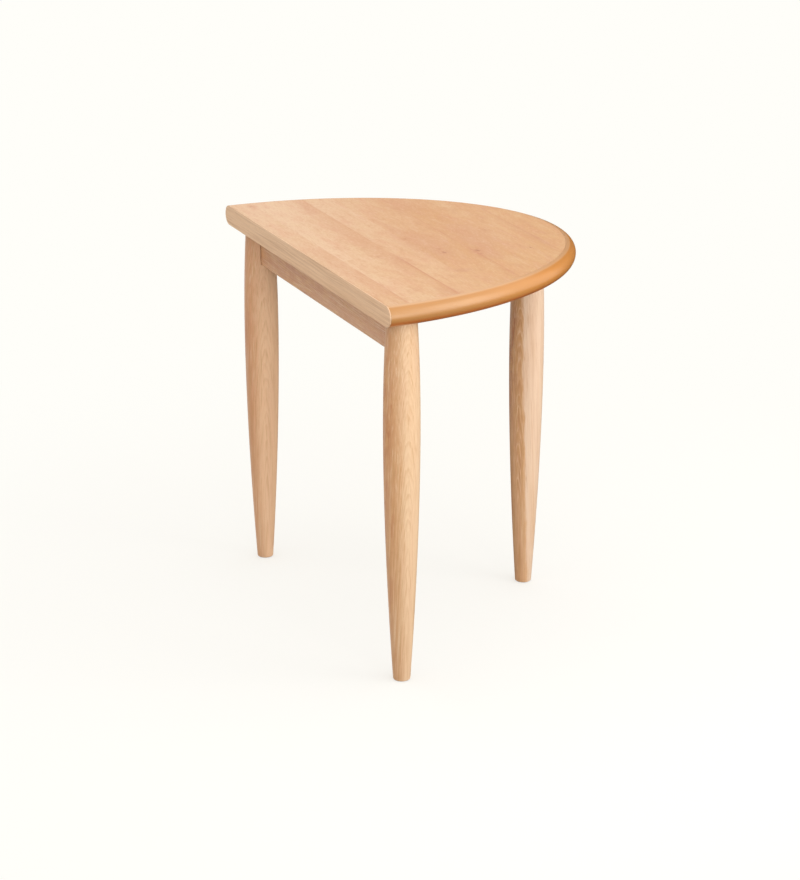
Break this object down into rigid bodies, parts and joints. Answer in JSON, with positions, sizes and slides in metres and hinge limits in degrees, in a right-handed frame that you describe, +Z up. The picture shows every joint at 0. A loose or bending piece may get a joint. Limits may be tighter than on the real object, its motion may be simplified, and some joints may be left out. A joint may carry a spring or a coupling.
{
  "type": "hall table",
  "caption": "Half-oval hall table with turned tapering legs, a half-round moulded edge and a straight edge that stands against a wall.",
  "frame": {"origin": "on the floor, under the middle of the top's bounding box", "axes": "+Z up, +Y towards the wall (the straight edge), -Y towards the curved front, +X along the straight edge, to the right for someone who faces the wall"},
  "size_m": [0.802, 0.537, 0.74],
  "materials": {
    "top_laminate": "satin laminate, printed as planked maple",
    "backing_sheet": "plain matt backing sheet",
    "core_board": "raw particle board",
    "edge_moulding": "smooth satin, warm honey",
    "edge_band": "satin wood-grained band",
    "solid_wood": "clear satin lacquer on pale hardwood",
    "dowel_wood": "raw hardwood",
    "zinc_steel": "bright zinc plate",
    "nylon": "off-white moulded nylon"
  },
  "bodies": {
    "root": {"top_laminate": "top_laminate", "top_core": "core_board", "backing_sheet": "backing_sheet", "edge_moulding": "edge_moulding", "straight_edge_band": "edge_band", "wall_leg_left": "solid_wood", "wall_leg_right": "solid_wood", "front_leg": "solid_wood", "wall_rail": "solid_wood", "centre_rail": "solid_wood", "corner_block_left": "solid_wood", "corner_block_right": "solid_wood", "wall_leg_left_dowel_upper": "dowel_wood", "wall_leg_left_dowel_lower": "dowel_wood", "wall_leg_right_dowel_upper": "dowel_wood", "wall_leg_right_dowel_lower": "dowel_wood", "front_leg_dowel_upper": "dowel_wood", "front_leg_dowel_lower": "dowel_wood", "cross_joint_dowel_upper": "dowel_wood", "cross_joint_dowel_lower": "dowel_wood", "wall_bracket_outer_left": "zinc_steel", "wall_bracket_inner_left": "zinc_steel", "wall_bracket_inner_right": "zinc_steel", "wall_bracket_outer_right": "zinc_steel", "centre_bracket_left": "zinc_steel", "centre_bracket_right": "zinc_steel", "wall_bracket_outer_left_rail_screw": "zinc_steel", "wall_bracket_outer_left_top_screw": "zinc_steel", "wall_bracket_inner_left_rail_screw": "zinc_steel", "wall_bracket_inner_left_top_screw": "zinc_steel", "wall_bracket_inner_right_rail_screw": "zinc_steel", "wall_bracket_inner_right_top_screw": "zinc_steel", "wall_bracket_outer_right_rail_screw": "zinc_steel", "wall_bracket_outer_right_top_screw": "zinc_steel", "centre_bracket_left_rail_screw": "zinc_steel", "centre_bracket_left_top_screw": "zinc_steel", "centre_bracket_right_rail_screw": "zinc_steel", "centre_bracket_right_top_screw": "zinc_steel", "corner_block_left_wall_screw": "zinc_steel", "corner_block_left_top_screw": "zinc_steel", "corner_block_right_wall_screw": "zinc_steel", "corner_block_right_top_screw": "zinc_steel", "wall_glide_left": "nylon", "wall_glide_right": "nylon", "front_glide": "nylon"}
  },
  "joints": []
}
